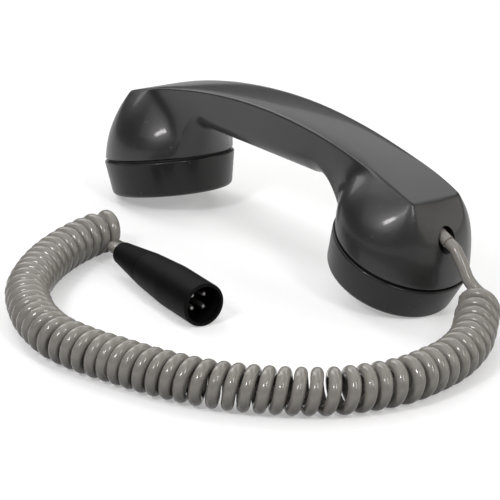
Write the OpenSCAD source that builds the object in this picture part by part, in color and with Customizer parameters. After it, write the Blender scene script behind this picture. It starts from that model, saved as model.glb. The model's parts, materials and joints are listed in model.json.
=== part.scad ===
// Audio intercom handset with a curly cord and a four-pin male connector.
// It lies face down on its two screw caps: X along the handle, +Z up, table at z = 0.

/* [Handle] */
// Length over the rims of the two caps
overall_length = 222; // [214:1:236]
// Height of the crest above the table at its middle
crest_height = 70; // [68:0.5:77]
// Rise of the crest from its ends to its middle
crest_rise = 18; // [15:0.5:19]
// Rise of the crest's middle line over its edges, at mid length
crest_crown = 1; // [0.4:0.1:1.4]
// Width of the flat crest
crest_width = 28.4; // [25:0.2:32]
// Reach of the crest past the receiver's axis
receiver_reach = 15; // [12:0.5:18]
// Reach of the crest past the transmitter's axis
transmitter_reach = 18.5; // [16:0.5:20]
// Height of the flat sides at the middle of the grip
side_height = 16; // [14:0.5:18]
// Narrowing of each side from the crest to the lower edge
side_draft = 0.8; // [0.4:0.1:1.5]
// Depth of the rounded underside below the lower edges
keel_depth = 9; // [7:0.5:10]
// Fullness of the receiver's shoulder
receiver_fullness = 2.2; // [1.6:0.1:3]
// Fullness of the transmitter's shoulder
transmitter_fullness = 3; // [2:0.1:3.6]
// Length of the bend from the receiver's neck to the grip
receiver_bend = 15; // [13:1:19]
// How far the receiver's shoulder stands outside its neck
receiver_shoulder = 23; // [17:1:26]
// Length of the bend from the transmitter's neck to the grip
transmitter_bend = 26; // [22:1:30]
// How far the transmitter's shoulder stands outside its neck
transmitter_shoulder = 14; // [10:1:22]
// Distance from the end of the grip to the corner of each bend
bend_corner = 14; // [11:1:16]
// Bore of the wire channel through the handle
channel_d = 6; // [5:0.5:7]

/* [Caps] */
// Diameter of a cap at its rim
cap_d = 62; // [61:0.5:66]
// Diameter of a cap at its face
cap_face_d = 57.6; // [57:0.2:60]
// Height of a cap
cap_h = 16.8; // [16:0.2:19]
// Rounding of a cap's lower edge
cap_round = 2.5; // [1.5:0.1:2.8]
// Wall of a cap round its neck
cap_wall = 4.15; // [3.85:0.05:4.65]
// Thickness of a cap's face
cap_floor = 2.4; // [1.8:0.1:3]
// Depth of the dish in a cap's face
cap_dish = 0.8; // [0.4:0.1:1.2]
// Width of the groove between a cap and the handle
groove_w = 1.2; // [0.8:0.1:1.8]
// Depth of the groove
groove_depth = 0.9; // [0.5:0.1:1.4]
// Lean of the receiver's axis
receiver_tilt = 13; // [10:0.5:15]
// Lean of the transmitter's axis
transmitter_tilt = 22; // [19:0.5:24]
// Diameter of a sound hole
sound_hole_d = 2.4; // [1.6:0.1:3]
// Spacing of the rings of sound holes
sound_ring_step = 5.2; // [4.6:0.1:6]

/* [Necks] */
// Height of the necks below the cap rims
neck_h = 10; // [8.5:0.5:11]
// Wall of the necks
neck_wall = 2.6; // [2:0.1:3]
// Depth of the capsule seats above the cap rims
seat_depth = 3; // [2.5:0.1:5]
// Diameter of the wiring chambers behind the capsules
chamber_d = 40; // [36:1:42]
// Depth of the wiring chambers
chamber_h = 8; // [7:0.5:10]
// Play between a neck and its cap
thread_play = 0.05; // [0.02:0.01:0.08]

/* [Capsules] */
// Thickness of the capsule flanges
flange_t = 1.5; // [1.2:0.1:2]
// Play of a capsule in its neck
capsule_play = 0.2; // [0.1:0.05:0.3]
// Sheet thickness of the capsule cases
case_t = 1.2; // [0.8:0.1:1.5]
// Thickness of the capsule grilles
grille_t = 1; // [0.8:0.1:1.2]
// Thickness of the diaphragms
diaphragm_t = 0.4; // [0.3:0.1:0.5]
// Free travel of a diaphragm to each side
diaphragm_travel = 0.25; // [0.2:0.05:0.3]
// Diameter of the magnet in each capsule
magnet_d = 14; // [12:0.5:15]
// Radial air gap each side of a voice coil
air_gap = 0.8; // [0.6:0.1:1]
// Radial thickness of a voice coil
coil_t = 1.6; // [1.2:0.1:2]
// Wall of the magnet pots
pot_wall = 2.4; // [2:0.1:3]
// Depth of the microphone's case
mic_case_h = 6.5; // [6:0.1:7]
// Width of a contact spring
spring_w = 5; // [4:0.5:6]
// Thickness of a contact spring
spring_t = 0.4; // [0.3:0.1:0.6]
// Diameter of a terminal screw's head
screw_head_d = 4.6; // [4:0.2:5.4]
// Diameter of a terminal screw's shank
screw_d = 2.6; // [2:0.1:3]
// Diameter of an inner wire
wire_d = 1.4; // [1:0.1:1.6]

/* [Cord] */
// Diameter of the cord
cord_d = 4.8; // [4.4:0.1:5.2]
// Outer diameter of the curls
curl_d = 19; // [18:0.5:20]
// Number of curls
curls = 58; // [50:1:60]
// Share by which the curls open towards both ends of their run
end_stretch = 0.12; // [0:0.02:0.16]
// Diameter of the slanted cord hole
hole_d = 9.6; // [8:0.2:11]
// Height of the cord hole's mouth above the table
hole_z = 36; // [34:0.5:38]
// Angle below level at which the cord leaves
exit_angle = 22; // [18:1:28]
// Diameter of the strain relief's tip
relief_d = 5.6; // [5.4:0.1:6.6]

/* [Connector] */
// Outer diameter of the shell
shell_d = 19; // [18:0.2:20]
// Length of the shell
shell_len = 46.5; // [44:0.5:50]
// Length of the straight front part of the shell
shell_front = 25; // [23:0.5:28]
// Bore of the shell's front
shell_bore_d = 16; // [15:0.2:16.6]
// Depth of the shell's open front
shell_depth = 16; // [14:0.5:18]
// Length of the tapered boot
boot_len = 23.5; // [20:0.5:28]
// Diameter of the boot where it meets the shell
boot_d = 15.6; // [14.4:0.2:16]
// Diameter of the boot's end
boot_end_d = 10; // [9:0.2:12]
// Number of contact pins
pins = 4; // [3:1:5]
// Diameter of a contact pin
pin_d = 2.3; // [2:0.1:2.6]
// Diameter of the circle of pins
pin_circle_d = 8; // [7:0.2:9]
// Depth of the pin tips behind the shell's rim
pin_recess = 5; // [4:0.5:6]

/* [Hidden] */
$fn = 96;
eps = 0.01;
// How far a cut runs past the face that it opens
over = 1;
// Room left between pieces that only lie near each other
seat_gap = 0.3;
// Steps inward of the handle's rim and of a capsule's flange
rim_step = 0.5;
flange_step = 0.8;
// Small edge chamfer
edge_cut = 0.6;

// Radii that the pieces share
cap_r = cap_d / 2;
face_r = cap_face_d / 2;
rim_r = cap_r - rim_step;
neck_r = cap_r - cap_wall - thread_play;
neck_bore_r = neck_r - neck_wall;
capsule_r = neck_bore_r - capsule_play;
case_bore_r = capsule_r - case_t;
flange_r = neck_r - flange_step;
chamber_r = chamber_d / 2;
magnet_r = magnet_d / 2;
coil_in_r = magnet_r + air_gap;
coil_out_r = coil_in_r + coil_t;
pot_in_r = coil_out_r + air_gap;
pot_out_r = pot_in_r + pot_wall;

// Heights along a head's axis: 0 at the cap's rim, positive into the handle
cap_floor_s = -(cap_h - cap_floor);
neck_end_s = -neck_h;
flange_s = neck_end_s - flange_t;
grille_s = flange_s + grille_t;
chamber_s = seat_depth + chamber_h;

// Each head: height of its rim's centre when its cap's edge is on the table, and place of its axis
function rest_z(tilt) =
    (face_r - cap_round) * sin(tilt) + cap_round * (1 - cos(tilt)) + cap_h * cos(tilt);
receiver_x = -(overall_length / 2 - cap_r * cos(receiver_tilt));
transmitter_x = overall_length / 2 - cap_r * cos(transmitter_tilt);
receiver_z = rest_z(receiver_tilt);
transmitter_z = rest_z(transmitter_tilt);
receiver_end = receiver_x - receiver_reach;
transmitter_end = transmitter_x + transmitter_reach;

module at_receiver() {
    translate([receiver_x, 0, receiver_z])
        rotate([0, -receiver_tilt, 0])
            children();
}

module at_transmitter() {
    translate([transmitter_x, 0, transmitter_z])
        rotate([0, transmitter_tilt, 0])
            children();
}

// Swept tubes: rings square to the path, carried along it without twist
function quad(a, b, c, d) = [[a, b, c], [a, c, d]];
function flat(lists) = [for (list = lists) for (item = list) item];
function unit(v) = v / norm(v);
function tangents(p) = [
    for (i = [0 : len(p) - 1])
        unit(p[min(i + 1, len(p) - 1)] - p[max(i - 1, 0)])
];
function across(v, way) = unit(v - (v * way) * way);
function carried_sides(ways) = [
    for (i = 0, side = across([0, 1, 0.1], ways[0]); i < len(ways);
        i = i + 1, side = i < len(ways) ? across(side, ways[i]) : side)
        side
];
function tube_points(p, r, n) =
    let (
        ways = tangents(p),
        sides = carried_sides(ways)
    )
    [
        for (i = [0 : len(p) - 1])
            for (k = [0 : n - 1])
                p[i] + r * (cos(360 * k / n) * sides[i] + sin(360 * k / n) * cross(ways[i], sides[i]))
    ];
function tube_faces(count, n) = concat(
    flat([
        for (i = [0 : count - 2])
            for (k = [0 : n - 1])
                let (k2 = (k + 1) % n)
                quad(i * n + k, (i + 1) * n + k, (i + 1) * n + k2, i * n + k2)
    ]),
    [for (k = [1 : n - 2]) [0, k, k + 1]],
    [for (k = [1 : n - 2]) [(count - 1) * n, (count - 1) * n + k + 1, (count - 1) * n + k]]
);

module swept_tube(p, r, n) {
    polyhedron(points = tube_points(p, r, n), faces = tube_faces(len(p), n), convexity = 20);
}

// Handle: a closed skin over a crest, a wall that flares to each round rim, and a keel
end_steps = 4;
rim_steps = 20;
bend_steps = 7;
grip_steps = 12;
wall_steps = 10;
keel_steps = 5;
edge_angle = 32;
neck_angle = 30;
half_w = crest_width / 2;
low_half_w = half_w - side_draft;
low_z = crest_height - side_height;
crest_mid = (receiver_end + transmitter_end) / 2;
crest_half = (transmitter_end - receiver_end) / 2;

function crest_z(x) = crest_height - crest_rise * pow((x - crest_mid) / crest_half, 2);
function crown_at(x) = crest_crown * (1 - pow((x - crest_mid) / crest_half, 2));
function crest_point(x, share = 1) = [x, -half_w * share, crest_z(x) - crown_at(x) * share * share];
function mix(a, b, f) = a + (b - a) * f;

// A point on a head's rim: angle 0 is outermost, 180 faces the other head
function rim_centre(side, x, z, tilt) =
    [x + side * groove_w * sin(tilt), 0, z + groove_w * cos(tilt)];
function rim_point(side, centre, tilt, a) =
    centre + rim_r * [side * cos(a) * cos(tilt), -sin(a), -cos(a) * sin(tilt)];

function bend_point(from, corner, to, f) =
    mix(mix(from, corner, f), mix(corner, to, f), f);

// Near-side stations of one head, outermost first: crest point, lower point, fullness, bend share
function head_stations(side, x, z, tilt, x_end, fullness, bend, shoulder) =
    let (
        centre = rim_centre(side, x, z, tilt),
        last = 180 - neck_angle,
        neck = rim_point(side, centre, tilt, last),
        root_x = neck[0] + side * shoulder,
        grip = [neck[0] - side * bend, -low_half_w, low_z],
        corner = grip + [side * bend_corner, 0, 0]
    )
    [
        for (i = [0 : end_steps - 1])
            [crest_point(x_end, i / end_steps),
             rim_point(side, centre, tilt, edge_angle * i / end_steps), fullness, 0],
        for (i = [0 : rim_steps])
            let (
                a = mix(edge_angle, last, i / rim_steps),
                along = (cos(edge_angle) - cos(a)) / (cos(edge_angle) - cos(last))
            )
            [crest_point(mix(x_end, root_x, along)), rim_point(side, centre, tilt, a), fullness, 0],
        for (i = [1 : bend_steps])
            let (f = i / bend_steps)
            [crest_point(mix(root_x, grip[0], f)), bend_point(neck, corner, grip, f),
             mix(fullness, 1, f), f]
    ];

function turned(list) = [for (i = [len(list) - 1 : -1 : 0]) list[i]];

receiver_stations = head_stations(-1, receiver_x, receiver_z, receiver_tilt, receiver_end,
    receiver_fullness, receiver_bend, receiver_shoulder);
transmitter_stations = head_stations(1, transmitter_x, transmitter_z, transmitter_tilt,
    transmitter_end, transmitter_fullness, transmitter_bend, transmitter_shoulder);
grip_from = receiver_stations[len(receiver_stations) - 1][1];
grip_to = transmitter_stations[len(transmitter_stations) - 1][1];
grip_stations = [
    for (i = [1 : grip_steps - 1])
        let (low = mix(grip_from, grip_to, i / grip_steps))
        [crest_point(low[0]), low, 1, 1]
];
near_side = concat(receiver_stations, grip_stations, turned(transmitter_stations));
near_count = len(near_side);
ring_count = 2 * near_count - 2;
first_keel = end_steps + rim_steps;
last_keel = near_count - 1 - first_keel;

function wall_point(station, t) =
    let (
        top = station[0],
        low = station[1],
        flare = 1 - pow(1 - t, station[2])
    )
    [mix(top[0], low[0], flare), mix(top[1], low[1], flare), mix(top[2], low[2], t)];

function far(p) = [p[0], -p[1], p[2]];
function ring_point(k, t) =
    k < near_count ? wall_point(near_side[k], t) : far(wall_point(near_side[ring_count - k], t));

// Across the underside: the rim's arc at a neck, turning into the keel's half ellipse at the grip
function keel_point(k, across) =
    let (
        station = near_side[k],
        low = station[1],
        f = station[3],
        side = k < near_count / 2 ? -1 : 1,
        tilt = side < 0 ? receiver_tilt : transmitter_tilt,
        lean = mix(tilt, -90, f),
        arc = rim_r * (cos(neck_angle * across) - cos(neck_angle)),
        depth = mix(arc, keel_depth * cos(90 * across), f),
        span = mix(sin(neck_angle * across) / sin(neck_angle), sin(90 * across), f)
    )
    [low[0] - side * depth * cos(lean), -low[1] * span, low[2] + depth * sin(lean)];

wall_points = [
    for (j = [0 : wall_steps])
        for (k = [0 : ring_count - 1])
            ring_point(k, j / wall_steps)
];
keel_inner = 2 * keel_steps - 1;
keel_points = [
    for (k = [first_keel : last_keel])
        for (c = [1 : keel_inner])
            keel_point(k, c / keel_steps - 1)
];
keel_base = len(wall_points);
hub_base = keel_base + len(keel_points);
crown_base = hub_base + 2;
crown_points = [
    for (k = [end_steps + 1 : near_count - end_steps - 2])
        crest_point(near_side[k][0][0], 0)
];
hub_points = [
    rim_centre(-1, receiver_x, receiver_z, receiver_tilt),
    rim_centre(1, transmitter_x, transmitter_z, transmitter_tilt)
];

function crown_index(k) = crown_base + k - end_steps - 1;
function wall_index(j, k) = j * ring_count + (k + ring_count) % ring_count;
function keel_index(k, c) =
    c == 0 ? wall_index(wall_steps, k)
    : c == 2 * keel_steps ? wall_index(wall_steps, ring_count - k)
    : keel_base + (k - first_keel) * keel_inner + c - 1;

wall_faces = flat([
    for (j = [0 : wall_steps - 1])
        for (k = [0 : ring_count - 1])
            quad(wall_index(j, k), wall_index(j, k + 1), wall_index(j + 1, k + 1), wall_index(j + 1, k))
]);
crest_faces = flat([
    for (k = [end_steps + 1 : near_count - end_steps - 3])
        concat(
            quad(k, crown_index(k), crown_index(k + 1), k + 1),
            quad(crown_index(k), ring_count - k, ring_count - k - 1, crown_index(k + 1)))
]);
// The crest's two end panels fan out to the points along its end edges
receiver_end_faces = [
    for (k = [-end_steps - 1 : end_steps])
        [crown_index(end_steps + 1), wall_index(0, -k), wall_index(0, -k - 1)]
];
last_crest = near_count - end_steps - 2;
transmitter_end_faces = [
    for (k = [last_crest : ring_count - last_crest - 1])
        [crown_index(last_crest), k + 1, k]
];
keel_faces = flat([
    for (k = [first_keel : last_keel - 1])
        for (c = [0 : 2 * keel_steps - 1])
            quad(keel_index(k, c), keel_index(k + 1, c), keel_index(k + 1, c + 1), keel_index(k, c + 1))
]);
receiver_rim = concat(
    [for (k = [0 : first_keel]) wall_index(wall_steps, k)],
    [for (c = [1 : keel_inner]) keel_index(first_keel, c)],
    [for (k = [ring_count - first_keel : ring_count - 1]) wall_index(wall_steps, k)]
);
transmitter_rim = concat(
    [for (k = [last_keel : ring_count - last_keel]) wall_index(wall_steps, k)],
    [for (c = [keel_inner : -1 : 1]) keel_index(last_keel, c)]
);
function fan(hub, loop) = [for (i = [0 : len(loop) - 1]) [hub, loop[i], loop[(i + 1) % len(loop)]]];

module handle_skin() {
    polyhedron(
        points = concat(wall_points, keel_points, hub_points, crown_points),
        faces = concat(wall_faces, crest_faces, receiver_end_faces, transmitter_end_faces, keel_faces,
            fan(hub_base, receiver_rim), fan(hub_base + 1, transmitter_rim)),
        convexity = 6);
}

// Wiring: a straight channel above the keel, joined to each chamber by an upright passage
channel_r = channel_d / 2;
channel_drop = 1;
channel_z = low_z - channel_drop;
passage_reach = 10;
receiver_channel_x = receiver_x + passage_reach;
transmitter_channel_x = transmitter_x - passage_reach;

// Cord hole: its mouth is on the transmitter's end facet, and it slopes up into the head
facet = transmitter_stations[0];
mouth = wall_point(facet, (facet[0][2] - hole_z) / (facet[0][2] - facet[1][2]));
exit_way = [cos(exit_angle), 0, -sin(exit_angle)];
relief_len = 14;
relief_out = 2;
relief_collar_len = 5;
anchor_len = 2;
turn_room = 3;
conductor_inset = relief_len + anchor_len + turn_room;
passage_d = 7;

module at_cord_hole() {
    translate(mouth)
        rotate([0, 90 + exit_angle, 0])
            children();
}

cord_root = mouth - conductor_inset * exit_way;
root_local_x = (cord_root[0] - transmitter_x) * cos(transmitter_tilt)
    - (cord_root[2] - transmitter_z) * sin(transmitter_tilt);
root_local_s = (cord_root[0] - transmitter_x) * sin(transmitter_tilt)
    + (cord_root[2] - transmitter_z) * cos(transmitter_tilt);

module head_cuts() {
    translate([0, 0, neck_end_s - over])
        cylinder(h = seat_depth - neck_end_s + over, r = neck_bore_r);
    translate([0, 0, seat_depth - eps])
        cylinder(h = chamber_h + eps, r = chamber_r);
}

module head_neck() {
    translate([0, 0, neck_end_s])
        cylinder(h = neck_h + groove_w + seat_depth, r = neck_r);
}

module handle_body() {
    color([0.05, 0.05, 0.055])
        difference() {
            union() {
                handle_skin();
                at_receiver() head_neck();
                at_transmitter() head_neck();
            }
            at_receiver() head_cuts();
            at_transmitter() head_cuts();
            translate([receiver_channel_x, 0, channel_z])
                rotate([0, 90, 0])
                    cylinder(h = transmitter_channel_x - receiver_channel_x, r = channel_r);
            translate([receiver_channel_x, 0, receiver_z + seat_depth])
                cylinder(h = channel_z + channel_r - receiver_z - seat_depth, r = channel_r);
            translate([transmitter_channel_x, 0, transmitter_z + seat_depth])
                cylinder(h = channel_z + channel_r - transmitter_z - seat_depth, r = channel_r);
            at_cord_hole()
                translate([0, 0, -conductor_inset])
                    cylinder(h = conductor_inset + hole_d, d = hole_d);
            at_transmitter()
                translate([root_local_x, 0, seat_depth])
                    cylinder(h = root_local_s + wire_d - seat_depth, d = passage_d);
        }
}

// Caps
rim_round = 0.8;
round_steps = 8;
hole_rings = 2;
holes_per_ring = 6;
side_arc = 84;
bore_r = neck_r + thread_play;

module cap_profile() {
    arc_x = face_r - cap_round;
    arc_s = -cap_h + cap_round;
    polygon(concat(
        [[bore_r, 0], [bore_r, cap_floor_s], [0, cap_floor_s], [0, -cap_h + cap_dish]],
        [[arc_x - cap_round, -cap_h]],
        [for (i = [0 : round_steps])
            let (a = -90 + side_arc * i / round_steps)
            [arc_x + cap_round * cos(a), arc_s + cap_round * sin(a)]],
        [for (i = [0 : round_steps])
            let (a = 90 * i / round_steps)
            [cap_r - rim_round + rim_round * cos(a), -rim_round + rim_round * sin(a)]]
    ));
}

module sound_holes() {
    for (ring = [0 : hole_rings])
        for (i = [0 : max(0, holes_per_ring * ring - 1)])
            rotate([0, 0, 360 * i / max(1, holes_per_ring * ring)])
                translate([ring * sound_ring_step, 0, -cap_h - over])
                    cylinder(h = cap_floor + 2 * over, d = sound_hole_d);
}

module screw_cap() {
    color([0.05, 0.05, 0.055])
        difference() {
            rotate_extrude() cap_profile();
            sound_holes();
        }
}

module ring(s_from, s_to, r_in, r_out) {
    translate([0, 0, s_from])
        difference() {
            cylinder(h = s_to - s_from, r = r_out);
            translate([0, 0, -over])
                cylinder(h = s_to - s_from + 2 * over, r = r_in);
        }
}

module cap_seal() {
    color([0.03, 0.03, 0.03])
        ring(thread_play, groove_w - seat_gap, bore_r, cap_r - groove_depth - rim_round);
}

module felt_ring() {
    color([0.25, 0.25, 0.24])
        ring(cap_floor_s, flange_s - seat_gap, coil_out_r + pot_wall, flange_r);
}

module receiver_cap() {
    at_receiver() screw_cap();
}

module receiver_cap_seal() {
    at_receiver() cap_seal();
}

module receiver_felt() {
    at_receiver() felt_ring();
}

module transmitter_cap() {
    at_transmitter() screw_cap();
}

module transmitter_cap_seal() {
    at_transmitter() cap_seal();
}

module transmitter_felt() {
    at_transmitter() felt_ring();
}

// Capsules: a flanged case whose back is at back_s, with a pot, magnet, coil, diaphragm and grille
receiver_back_s = seat_depth - seat_gap;
mic_back_s = neck_end_s + mic_case_h;
receiver_front_air = 1.6;
mic_front_air = 0.8;
receiver_diaphragm_s = grille_s + receiver_front_air;
mic_diaphragm_s = grille_s + mic_front_air;
pot_floor = 1.2;
coil_share = 0.55;

module capsule_case(back_s) {
    color("silver")
        difference() {
            union() {
                translate([0, 0, flange_s])
                    cylinder(h = flange_t, r = flange_r);
                translate([0, 0, neck_end_s - eps])
                    cylinder(h = back_s - neck_end_s + eps, r = capsule_r);
            }
            translate([0, 0, flange_s - over])
                cylinder(h = back_s - case_t - flange_s + over, r = case_bore_r);
            translate([0, 0, flange_s - over])
                cylinder(h = grille_t + over, r = capsule_r);
        }
}

module capsule_grille() {
    color("gray")
        translate([0, 0, flange_s])
            difference() {
                cylinder(h = grille_t, r = capsule_r - eps);
                for (ring = [1 : hole_rings])
                    for (i = [0 : holes_per_ring * ring - 1])
                        rotate([0, 0, 360 * i / (holes_per_ring * ring)])
                            translate([ring * sound_ring_step, 0, -over])
                                cylinder(h = grille_t + 2 * over, d = sound_hole_d);
            }
}

module capsule_diaphragm(s) {
    color("wheat")
        translate([0, 0, s])
            cylinder(h = diaphragm_t, r = case_bore_r - seat_gap);
}

function coil_end_s(s, back_s) = mix(s, back_s - case_t - pot_floor, coil_share);

module capsule_coil(s, back_s) {
    color("peru")
        ring(s + diaphragm_t, coil_end_s(s, back_s), coil_in_r, coil_out_r);
}

function magnet_s(s) = s + diaphragm_t + diaphragm_travel + seat_gap;

module capsule_magnet(s, back_s) {
    color("dimgray")
        translate([0, 0, magnet_s(s)])
            cylinder(h = back_s - case_t - pot_floor - magnet_s(s), r = magnet_r);
}

module capsule_pot(s, back_s) {
    color("slategray") {
        translate([0, 0, back_s - case_t - pot_floor])
            cylinder(h = pot_floor, r = pot_out_r);
        ring(magnet_s(s), back_s - case_t - pot_floor + eps, pot_in_r, pot_out_r);
    }
}

module receiver_case() {
    at_receiver() capsule_case(receiver_back_s);
}

module receiver_grille() {
    at_receiver() capsule_grille();
}

module receiver_diaphragm() {
    at_receiver() capsule_diaphragm(receiver_diaphragm_s);
}

module receiver_coil() {
    at_receiver() capsule_coil(receiver_diaphragm_s, receiver_back_s);
}

module receiver_magnet() {
    at_receiver() capsule_magnet(receiver_diaphragm_s, receiver_back_s);
}

module receiver_pot() {
    at_receiver() capsule_pot(receiver_diaphragm_s, receiver_back_s);
}

module mic_case() {
    at_transmitter() capsule_case(mic_back_s);
}

module mic_grille() {
    at_transmitter() capsule_grille();
}

module mic_diaphragm() {
    at_transmitter() capsule_diaphragm(mic_diaphragm_s);
}

module mic_coil() {
    at_transmitter() capsule_coil(mic_diaphragm_s, mic_back_s);
}

module mic_magnet() {
    at_transmitter() capsule_magnet(mic_diaphragm_s, mic_back_s);
}

module mic_pot() {
    at_transmitter() capsule_pot(mic_diaphragm_s, mic_back_s);
}

// Terminals
terminal_pitch = 16;
terminal_head_h = 1.8;
cup_floor = 1.8;
cup_wall = 1.6;
cup_back_s = seat_depth - seat_gap;
cup_front_s = mic_back_s + seat_gap;

module screw_head(s) {
    translate([0, 0, s])
        cylinder(h = terminal_head_h, d = screw_head_d);
}

module receiver_terminals() {
    color("goldenrod")
        at_receiver()
            for (y = [-terminal_pitch / 2, terminal_pitch / 2])
                translate([0, y, 0])
                    screw_head(receiver_back_s);
}

module at_cup_screws() {
    for (x = [-terminal_pitch / 2, terminal_pitch / 2])
        for (y = [-terminal_pitch / 2, terminal_pitch / 2])
            translate([x, y, 0])
                children();
}

module transmitter_cup() {
    color([0.35, 0.2, 0.12])
        at_transmitter()
            difference() {
                translate([0, 0, cup_front_s])
                    cylinder(h = cup_back_s - cup_front_s, r = capsule_r);
                translate([0, 0, cup_front_s - over])
                    cylinder(h = cup_back_s - cup_floor - cup_front_s + over, r = capsule_r - cup_wall);
                at_cup_screws()
                    translate([0, 0, cup_back_s - cup_floor - over])
                        cylinder(h = cup_floor + 2 * over, d = screw_d);
            }
}

module terminal_screws() {
    color("goldenrod")
        at_transmitter()
            at_cup_screws() {
                screw_head(cup_back_s);
                translate([0, 0, cup_back_s - cup_floor])
                    cylinder(h = cup_floor + eps, d = screw_d);
            }
}

// Each contact spring lies on the cup's floor under two screws and stands up to the microphone
spring_foot_s = cup_back_s - cup_floor - spring_t;
spring_tip_s = mic_back_s + seat_gap;
spring_reach = terminal_pitch / 2 + spring_w / 2;

module contact_springs() {
    color("khaki")
        at_transmitter()
            for (y = [-terminal_pitch / 2, terminal_pitch / 2])
                translate([0, y - spring_w / 2, 0])
                    rotate([-90, 0, 0])
                        linear_extrude(height = spring_w)
                            polygon([
                                [-spring_reach, -spring_foot_s - spring_t],
                                [terminal_pitch / 2, -spring_foot_s - spring_t],
                                [terminal_pitch / 4, -spring_tip_s],
                                [terminal_pitch / 4 - 2 * spring_t, -spring_tip_s],
                                [terminal_pitch / 2 - 3 * spring_t, -spring_foot_s],
                                [-spring_reach, -spring_foot_s]
                            ]);
}

// Inner wires, each one swept tube
wire_sides = 6;
wire_dip = 1;

module wire_run(points) {
    swept_tube(points, wire_d / 2, wire_sides);
}

function receiver_place(x, y, s) =
    [receiver_x + x * cos(receiver_tilt) - s * sin(receiver_tilt), y,
     receiver_z + x * sin(receiver_tilt) + s * cos(receiver_tilt)];
function transmitter_place(x, y, s) =
    [transmitter_x + x * cos(transmitter_tilt) + s * sin(transmitter_tilt), y,
     transmitter_z - x * sin(transmitter_tilt) + s * cos(transmitter_tilt)];

wire_gap = wire_d / 2 + seat_gap / 2;
receiver_head_s = receiver_back_s + terminal_head_h;
cup_head_s = cup_back_s + terminal_head_h;
lead_rise = 2.4;

module receiver_leads() {
    color("firebrick")
        for (side = [-1, 1])
            wire_run([
                receiver_place(0, side * terminal_pitch / 2, receiver_head_s),
                receiver_place(0, side * terminal_pitch / 2, receiver_head_s + lead_rise),
                [receiver_channel_x, side * wire_gap,
                 receiver_place(passage_reach, 0, chamber_s)[2] - wire_dip],
                [receiver_channel_x, side * wire_gap, channel_z],
                [transmitter_channel_x, side * wire_gap, channel_z],
                [transmitter_channel_x, side * wire_gap,
                 transmitter_place(-passage_reach, 0, chamber_s)[2] - wire_dip],
                transmitter_place(-terminal_pitch / 2, side * terminal_pitch / 2, cup_head_s + lead_rise),
                transmitter_place(-terminal_pitch / 2, side * terminal_pitch / 2, cup_head_s)
            ]);
}

module cord_conductors() {
    color("navy")
        for (side = [-1, 1])
            wire_run([
                transmitter_place(terminal_pitch / 2, side * terminal_pitch / 2, cup_head_s),
                transmitter_place(terminal_pitch / 2, side * terminal_pitch / 2, cup_head_s + lead_rise),
                transmitter_place(root_local_x, side * wire_gap, chamber_s),
                cord_root + [0, side * wire_gap, 0],
                cord_root + turn_room * exit_way + [0, side * wire_gap, 0]
            ]);
}

// Cord exit
relief_groove_len = 1;
relief_tip_len = relief_len - relief_collar_len + relief_out - relief_groove_len;
relief_groove_d = 4.4;

module strain_relief() {
    color([0.62, 0.6, 0.57])
        at_cord_hole() {
            translate([0, 0, -relief_len])
                cylinder(h = relief_collar_len, d = hole_d - 2 * eps);
            translate([0, 0, -relief_len + relief_collar_len - eps])
                cylinder(h = relief_tip_len + eps, d = relief_d);
            translate([0, 0, relief_out - relief_groove_len - eps])
                cylinder(h = relief_groove_len + eps, d = relief_groove_d);
        }
}

module cord_anchor() {
    color("silver")
        at_cord_hole()
            translate([0, 0, -relief_len - anchor_len])
                cylinder(h = anchor_len, d = cord_d);
}

// Curly cord: one unbroken tube from the strain relief, round its curls, to the connector
cord_r = cord_d / 2;
curl_r = curl_d / 2 - cord_r;
table_gap = 0.1;
curl_z = curl_d / 2 + table_gap;
lift_start = 5;
lift_run = 34;
rings_per_curl = 8;
cord_sides = 6;
route_steps = 6;

// Route of the curls' axis on the table, by hand
curl_route = [
    [131, 0], [136, -6], [142, -13], [149, -22], [156, -34], [161, -46], [164, -59],
    [166, -75], [164, -90], [160, -104], [153, -116], [145, -126], [137, -134], [127, -142],
    [116, -148], [104, -153], [91, -157], [77, -161], [61, -163], [47, -161], [32, -156],
    [12, -145], [-3, -131], [-15, -116], [-24, -101], [-30, -88], [-34, -76], [-35, -66]
];
// The straight lead from the handle, and the tail to the connector, by hand
lead_route = [[117, 0, 31], [120, 0, 27.5], [123, 0, 23.5], [127, 1, 20], [131, 4, 16], [133, 5, 11]];
tail_route = [[-29, -66, 3], [-23.5, -68.5, 4], [-21, -73.5, 6], [-18.5, -78.5, 8.4]];
connector_face = [61.5, -90.5];
connector_turn = -7.5;
// Length of cord held inside the shell
cord_inset = 10;

function spline_point(a, b, c, d, t) =
    0.5 * (2 * b + (c - a) * t + (2 * a - 5 * b + 4 * c - d) * t * t + (3 * b - a - 3 * c + d) * t * t * t);
function route_end(list, i) =
    i < 0 ? 2 * list[0] - list[1]
    : i >= len(list) ? 2 * list[len(list) - 1] - list[len(list) - 2]
    : list[i];
function spline(list, steps) = [
    for (i = [0 : len(list) - 2])
        for (k = [0 : steps - 1])
            spline_point(route_end(list, i - 1), list[i], list[i + 1], route_end(list, i + 2), k / steps),
    list[len(list) - 1]
];
function cross_of(a, b) = a[0] * b[1] - a[1] * b[0];
function corner(list, i) =
    i < 1 || i > len(list) - 2 ? 0
    : let (a = list[i] - list[i - 1], b = list[i + 1] - list[i]) abs(atan2(cross_of(a, b), a * b)) * PI / 180;
function inner_step(list, i) =
    norm(list[i] - list[i - 1]) - curl_r * (corner(list, i - 1) + corner(list, i)) / 2;
// Lengths along the inside of the route's bends, where the curls lie closest
function inner_lengths(list) = [
    for (i = 0, sum = 0; i < len(list); i = i + 1, sum = sum + (i < len(list) ? inner_step(list, i) : 0))
        sum
];
function place_at(list, lengths, s) =
    let (
        i = max([for (k = [0 : len(list) - 2]) if (lengths[k] <= s) k]),
        f = (s - lengths[i]) / (lengths[i + 1] - lengths[i])
    )
    [mix(list[i], list[i + 1], f), (list[i + 1] - list[i]) / norm(list[i + 1] - list[i])];

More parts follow.
